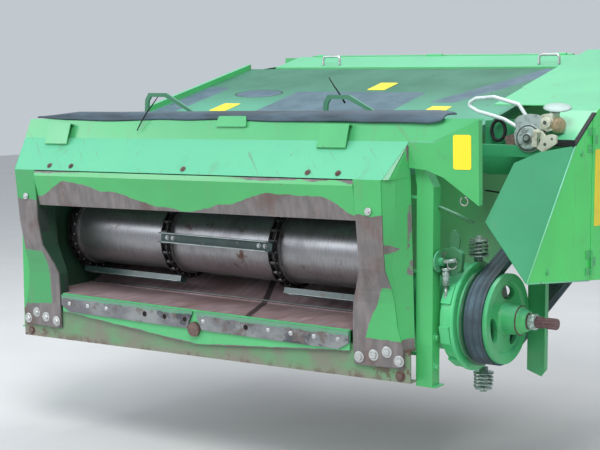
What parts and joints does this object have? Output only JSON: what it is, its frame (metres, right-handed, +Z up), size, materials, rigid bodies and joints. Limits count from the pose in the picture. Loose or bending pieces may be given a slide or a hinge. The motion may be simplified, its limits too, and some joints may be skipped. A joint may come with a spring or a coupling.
{
  "type": "combine harvester feeder house",
  "caption": "Front crop elevator of a combine harvester: housing with chain and slats on a drum, a tilting header frame, belt drive, gear case, top deck and side shield.",
  "frame": {"origin": "middle of the left pivot collar, on the rear pivot axis that carries the housing on the machine", "axes": "+X towards the belt drive (the machine's left side), +Y back into the machine, +Z up; the crop mouth faces -Y"},
  "size_m": [2.33, 1.916, 1.1874],
  "materials": {
    "green_paint": "gloss, scratched",
    "dark_green_paint": "satin, dusty",
    "worn_steel": "worn bare and browned",
    "dirty_green_paint": "matt, rusty at the edges",
    "rusty_steel": "rust brown, dull",
    "drum_steel": "polished by crop",
    "chain_steel": "oiled, dark",
    "bright_steel": "bright",
    "cast_grey": "as cast",
    "belt_rubber": "matt",
    "seal_rubber": "matt"
  },
  "bodies": {
    "housing": {"case_flange": "green_paint", "chain_slats": "worn_steel", "chain_strands": "chain_steel", "coupler_body": "cast_grey", "coupler_bracket": "green_paint", "coupler_handle": "bright_steel", "deck_plate": "dark_green_paint", "deck_rims": "green_paint", "drive_belt": "belt_rubber", "drum_arm_left": "green_paint", "drum_arm_right": "green_paint", "floor_front": "rusty_steel", "floor_lip": "dirty_green_paint", "floor_main": "rusty_steel", "front_cross_tube": "green_paint", "front_post_left": "green_paint", "front_post_right": "green_paint", "gear_case": "green_paint", "guard_plate": "green_paint", "housing_side_left": "green_paint", "housing_side_right": "green_paint", "latch_pin": "bright_steel", "lift_lugs": "green_paint", "lift_tube": "green_paint", "lifting_eyes": "green_paint", "pivot_collar_left": "green_paint", "pivot_collar_right": "green_paint", "pivot_pin": "rusty_steel", "post_shelves": "green_paint", "rear_cross": "green_paint", "shield_arms": "green_paint", "shield_front_panel": "green_paint", "shield_hinge": "green_paint", "shield_side_panel": "green_paint", "shield_top": "green_paint", "spring_unit_low": "bright_steel", "spring_unit_top": "bright_steel", "sprockets": "rusty_steel", "top_shaft": "bright_steel", "upper_sheave": "green_paint", "wear_strips": "worn_steel"},
    "tilt_frame": {"side_member_right": "green_paint", "side_member_left": "green_paint", "wear_plate_right": "worn_steel", "wear_plate_left": "worn_steel", "bottom_beam": "dirty_green_paint", "deflector": "green_paint", "hood_panel": "green_paint", "frame_top_rail": "green_paint", "wing_shield": "green_paint", "rubber_seal": "seal_rubber", "hood_brackets": "green_paint"},
    "drum_body": {"drum": "drum_steel", "drum_axle": "drum_steel"},
    "sheave_body": {"drive_sheave": "green_paint", "drive_shaft": "bright_steel"},
    "lid_body": {"access_lid": "green_paint", "lid_handles": "bright_steel"},
    "door_body": {"shield_door": "green_paint", "door_hinge": "green_paint"}
  },
  "joints": [
    {"name": "frame_tilt", "type": "hinge", "parent": "housing", "child": "tilt_frame", "pos_m": [0.841, -1.62, -0.747], "axis": [0, 1, 0], "range_deg": [-2.9, 5.1]},
    {"name": "drum_spin", "type": "hinge", "parent": "housing", "child": "drum_body", "pos_m": [0.841, -1.365, -0.448], "axis": [1, 0, 0], "continuous": true},
    {"name": "sheave_spin", "type": "hinge", "parent": "housing", "child": "sheave_body", "pos_m": [1.941, -1.395, -0.628], "axis": [1, 0, 0], "continuous": true},
    {"name": "deck_lid", "type": "hinge", "parent": "housing", "child": "lid_body", "pos_m": [0.841, -0.004, 0.26515], "axis": [-1, 0, 0], "range_deg": [0, 95]},
    {"name": "shield_door", "type": "hinge", "parent": "housing", "child": "door_body", "pos_m": [2.146, -1.062, -0.22], "axis": [0, 0, 1], "range_deg": [-100, 0]}
  ]
}
